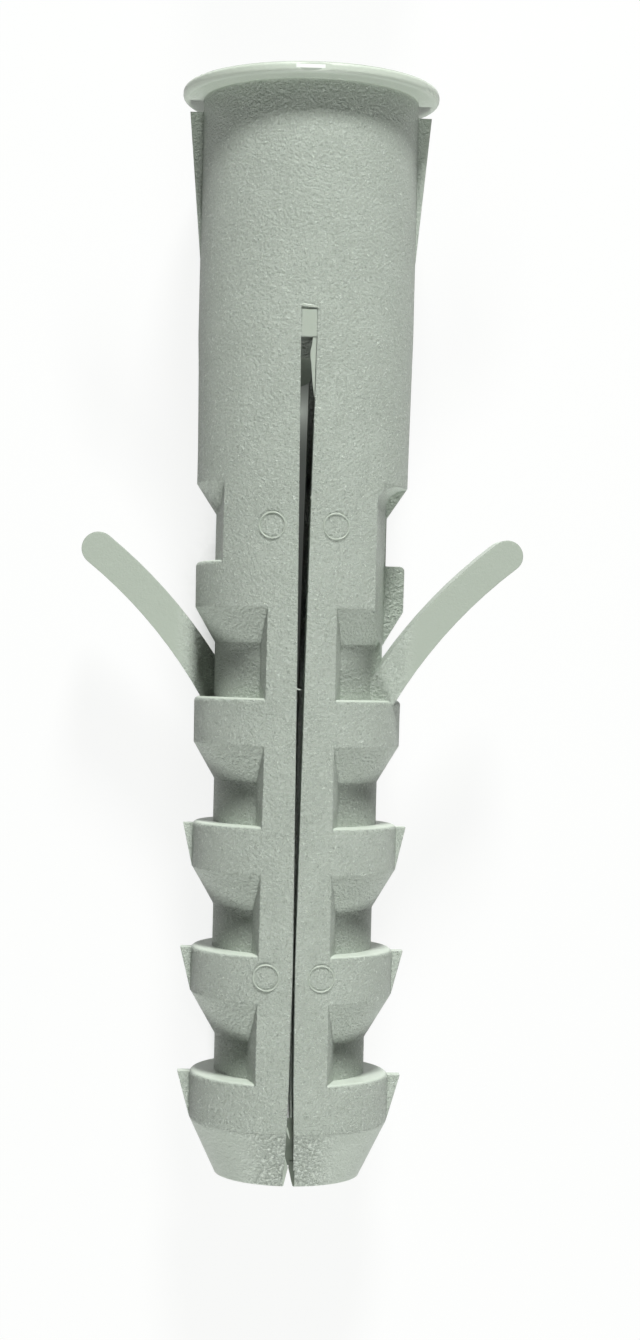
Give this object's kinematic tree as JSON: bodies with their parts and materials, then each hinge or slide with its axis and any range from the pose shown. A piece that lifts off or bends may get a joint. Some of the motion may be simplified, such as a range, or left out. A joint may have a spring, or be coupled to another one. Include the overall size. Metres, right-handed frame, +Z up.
{
  "type": "expansion plug sleeve",
  "caption": "Moulded nylon wall plug: collared sleeve over a slotted, barbed shank that a screw spreads, with two curved anti-rotation tongues.",
  "frame": {"origin": "under the middle of the plug, on the surface that it lies on", "axes": "+Y along the plug towards its rim, +Z up through the front slot, +X towards the tongue on the front's right"},
  "size_m": [0.0284, 0.0704, 0.0165],
  "materials": {
    "plug_sleeve": "fine spark-eroded grain, light grey-green nylon"
  },
  "bodies": {
    "root": {"plug_sleeve": "plug_sleeve"}
  },
  "joints": []
}
